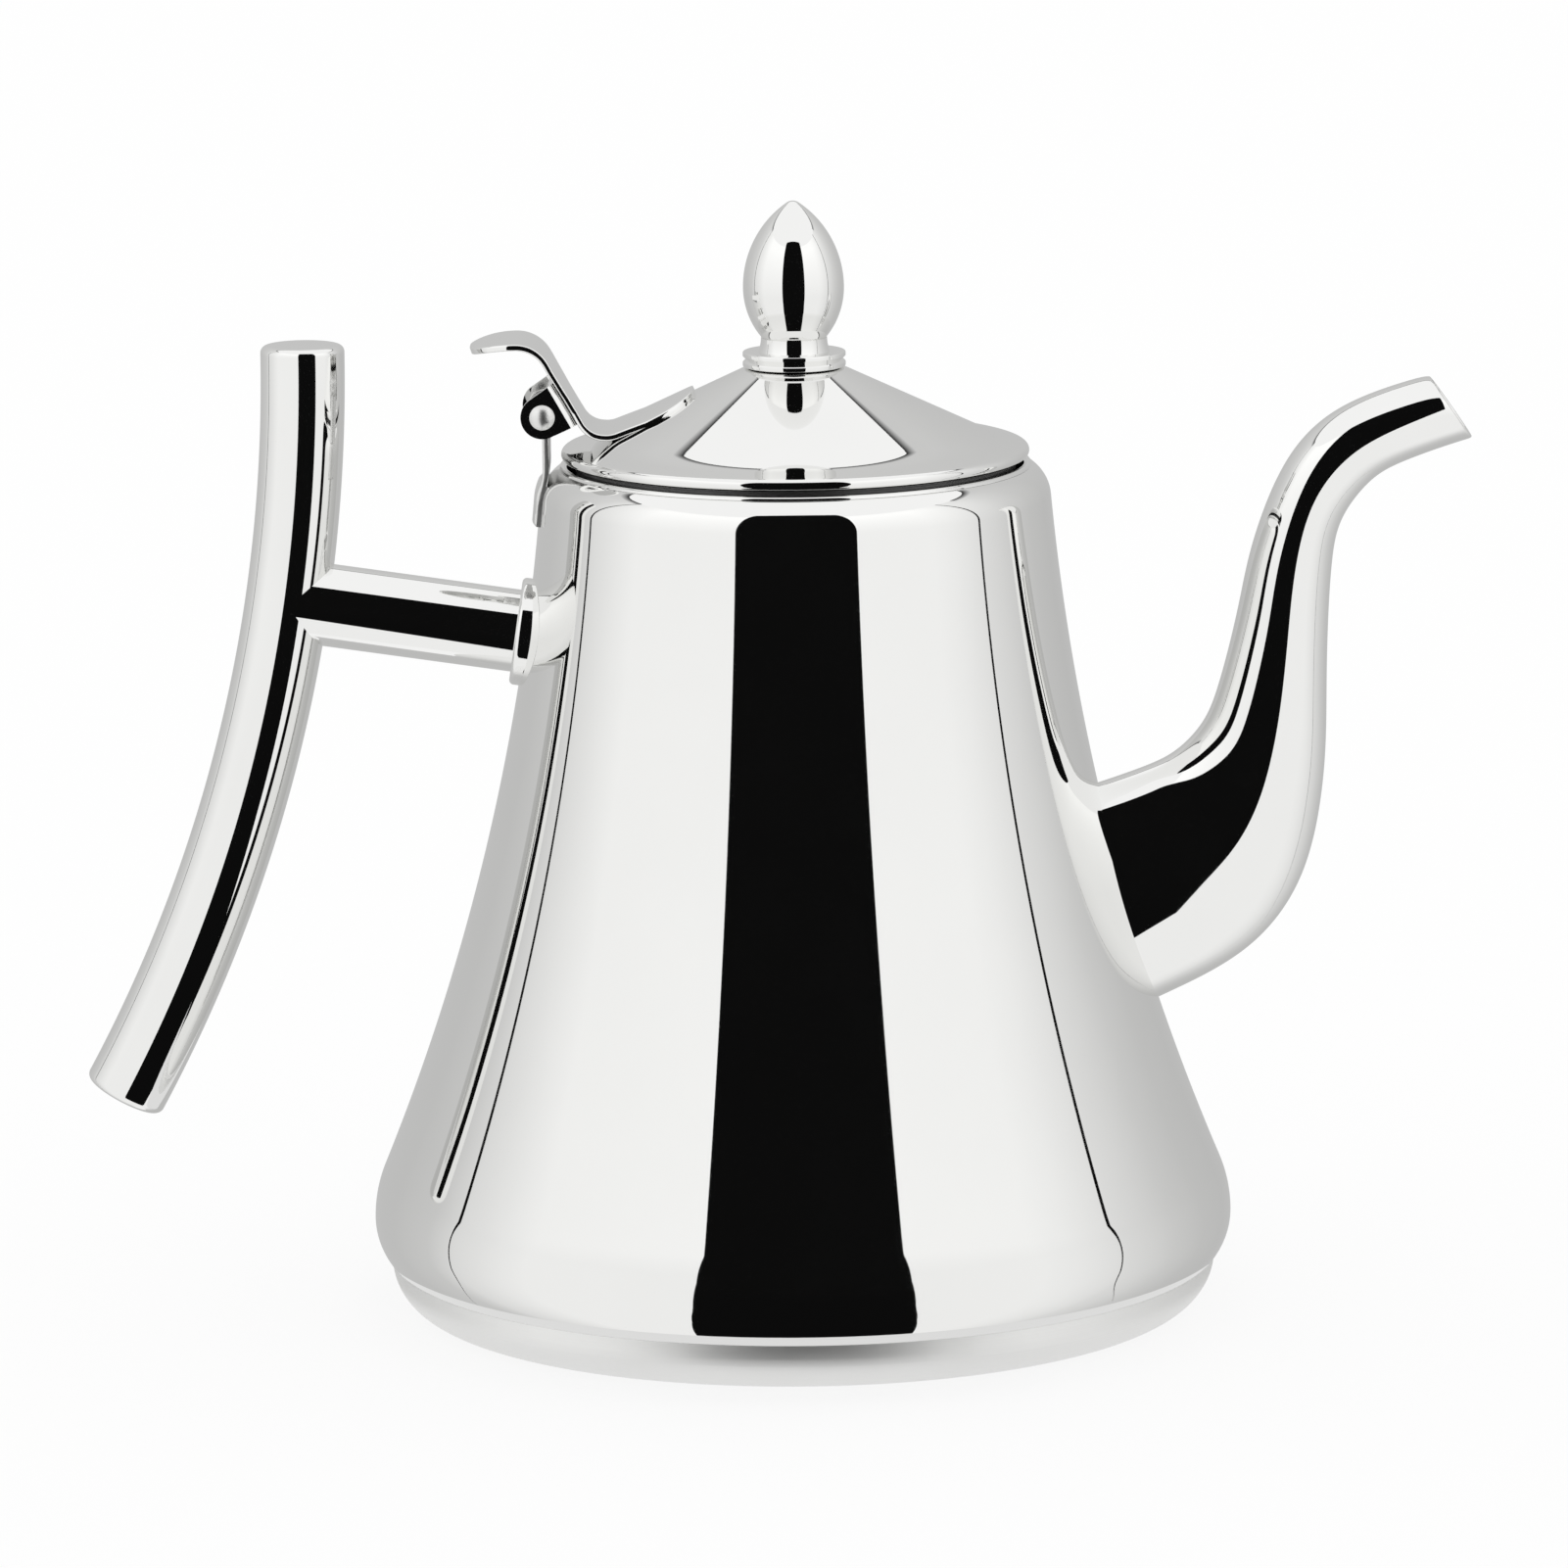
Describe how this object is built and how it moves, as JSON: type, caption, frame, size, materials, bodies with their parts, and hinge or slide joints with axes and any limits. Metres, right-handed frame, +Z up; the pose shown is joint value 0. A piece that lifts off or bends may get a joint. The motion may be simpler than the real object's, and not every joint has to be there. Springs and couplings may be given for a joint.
{
  "type": "gooseneck kettle",
  "caption": "Polished steel stovetop kettle with a flared body, gooseneck pouring spout, open tube handle on a short arm, and a hinged conical lid with thumb lever and acorn knob.",
  "frame": {"origin": "centre of the base's underside, on the surface that the kettle stands on", "axes": "+Z up along the body's axis, +X towards the spout, the handle at -X"},
  "size_m": [0.2662, 0.165, 0.2138],
  "materials": {
    "polished_steel": "mirror-polished stainless steel",
    "satin_steel": "satin stainless steel",
    "aluminium_core": "plain rolled aluminium"
  },
  "bodies": {
    "kettle": {"body_shell": "polished_steel", "spout": "polished_steel", "handle_grip": "polished_steel", "handle_top_cap": "polished_steel", "handle_bottom_cap": "polished_steel", "handle_arm": "polished_steel", "handle_flange": "polished_steel", "hinge_bracket": "polished_steel", "base_cap": "satin_steel", "bottom_pan": "satin_steel", "base_core": "aluminium_core"},
    "lid": {"lid_shell": "polished_steel", "lid_skirt": "satin_steel", "lid_hinge_bracket": "polished_steel", "thumb_lever": "polished_steel", "knob_collar": "polished_steel", "knob_ferrule": "polished_steel", "knob_finial": "polished_steel", "knob_washer": "satin_steel", "knob_screw": "satin_steel", "hinge_pin": "polished_steel"}
  },
  "joints": [
    {"name": "lid_hinge", "type": "hinge", "parent": "kettle", "child": "lid", "pos_m": [-0.0479, 0, 0.17407], "axis": [0, -1, 0], "range_deg": [0, 120]}
  ]
}
